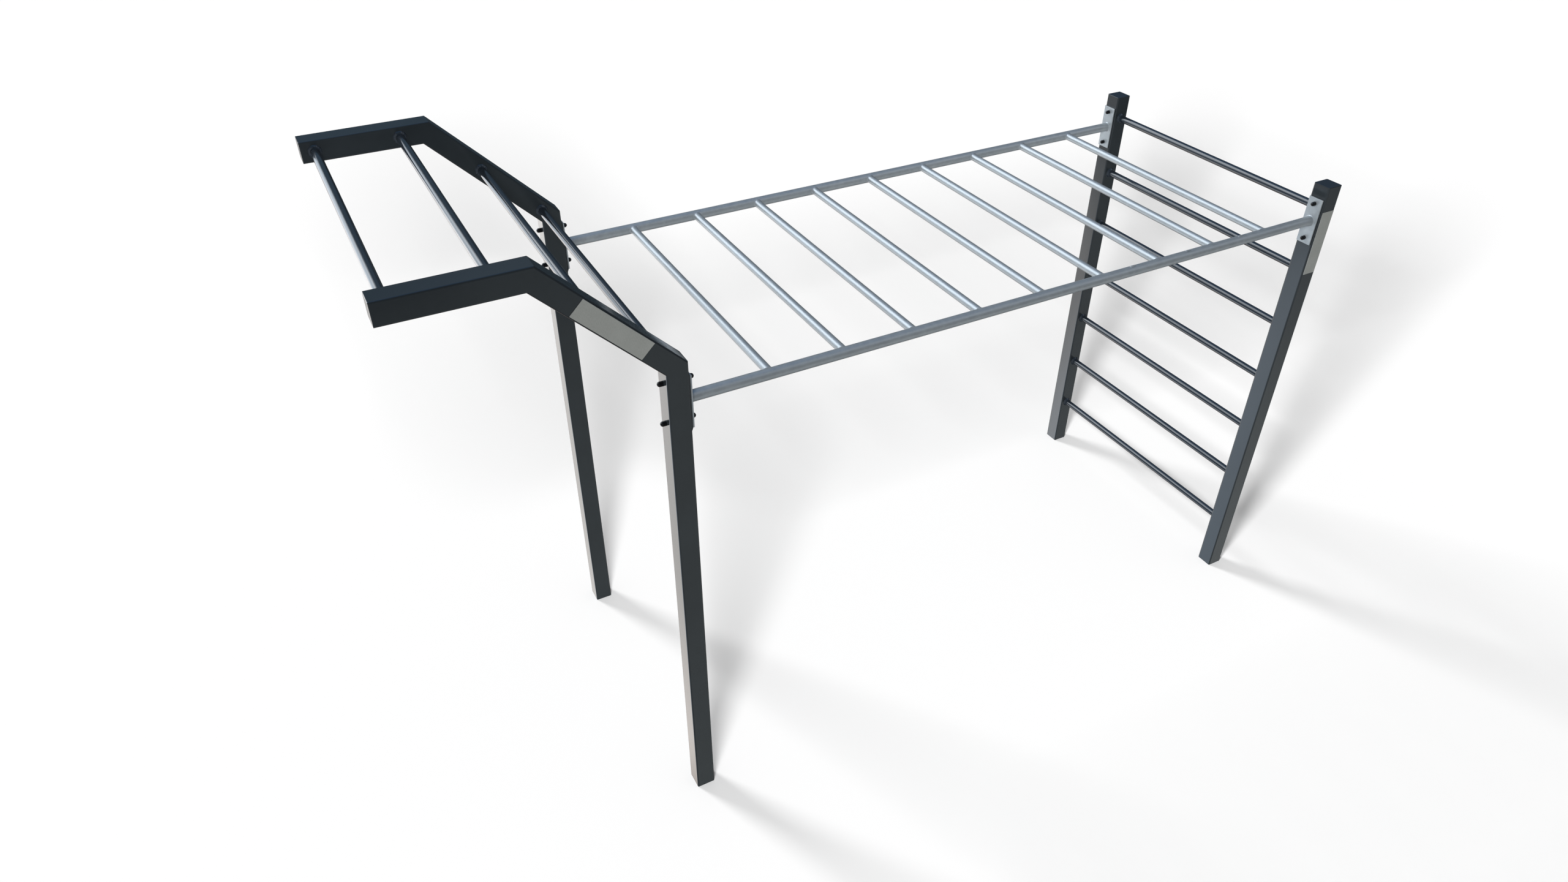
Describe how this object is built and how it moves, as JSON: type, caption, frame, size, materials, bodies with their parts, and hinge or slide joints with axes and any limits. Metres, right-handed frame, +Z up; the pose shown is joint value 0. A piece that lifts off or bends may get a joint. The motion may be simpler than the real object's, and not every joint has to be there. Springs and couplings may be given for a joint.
{
  "type": "monkey bars",
  "caption": "Free-standing monkey bars: a ladder of rungs between a wall-bar frame and a bent frame with raised pull-up bars, made of coated square and round steel tube.",
  "frame": {"origin": "on the ground, under the middle of the overall length and width", "axes": "+X along the length, from the bent pull-up frame to the wall-bar frame; +Y across the width, from the side with the marking plates to the other; +Z up"},
  "size_m": [4.0124, 1.398, 2.65],
  "materials": {
    "post_coat": "anthracite coating, semi-gloss",
    "bar_coat": "anthracite coating on round bars, semi-gloss",
    "ladder_coat": "silver-grey coating, satin",
    "cap_black": "black domed fastener, semi-gloss",
    "label_metal": "fine-grained bare sheet"
  },
  "bodies": {
    "root": {"bent_post_near": "post_coat", "slope_tube_near": "post_coat", "arm_tube_near": "post_coat", "arm_end_cap_near": "post_coat", "wall_post_near": "post_coat", "wall_post_cap_near": "post_coat", "backing_pad_bent_near": "post_coat", "flange_plate_bent_near": "ladder_coat", "bolt_bent_near_upper": "cap_black", "cap_nut_bent_near_upper": "cap_black", "bolt_bent_near_lower": "cap_black", "cap_nut_bent_near_lower": "cap_black", "backing_pad_wall_near": "post_coat", "flange_plate_wall_near": "ladder_coat", "bolt_wall_near_upper": "cap_black", "cap_nut_wall_near_upper": "cap_black", "bolt_wall_near_lower": "cap_black", "cap_nut_wall_near_lower": "cap_black", "rail_near": "ladder_coat", "bent_post_far": "post_coat", "slope_tube_far": "post_coat", "arm_tube_far": "post_coat", "arm_end_cap_far": "post_coat", "wall_post_far": "post_coat", "wall_post_cap_far": "post_coat", "backing_pad_bent_far": "post_coat", "flange_plate_bent_far": "ladder_coat", "bolt_bent_far_upper": "cap_black", "cap_nut_bent_far_upper": "cap_black", "bolt_bent_far_lower": "cap_black", "cap_nut_bent_far_lower": "cap_black", "backing_pad_wall_far": "post_coat", "flange_plate_wall_far": "ladder_coat", "bolt_wall_far_upper": "cap_black", "cap_nut_wall_far_upper": "cap_black", "bolt_wall_far_lower": "cap_black", "cap_nut_wall_far_lower": "cap_black", "rail_far": "ladder_coat", "rung_1": "ladder_coat", "rung_2": "ladder_coat", "rung_3": "ladder_coat", "rung_4": "ladder_coat", "rung_5": "ladder_coat", "rung_6": "ladder_coat", "rung_7": "ladder_coat", "rung_8": "ladder_coat", "rung_9": "ladder_coat", "wall_bar_1": "bar_coat", "wall_bar_2": "bar_coat", "wall_bar_3": "bar_coat", "wall_bar_4": "bar_coat", "wall_bar_5": "bar_coat", "wall_bar_6": "bar_coat", "wall_bar_7": "bar_coat", "grip_bar_1": "bar_coat", "grip_bar_2": "bar_coat", "grip_bar_3": "bar_coat", "grip_bar_4": "bar_coat", "slope_label_plate": "label_metal", "post_label_plate": "label_metal"}
  },
  "joints": []
}
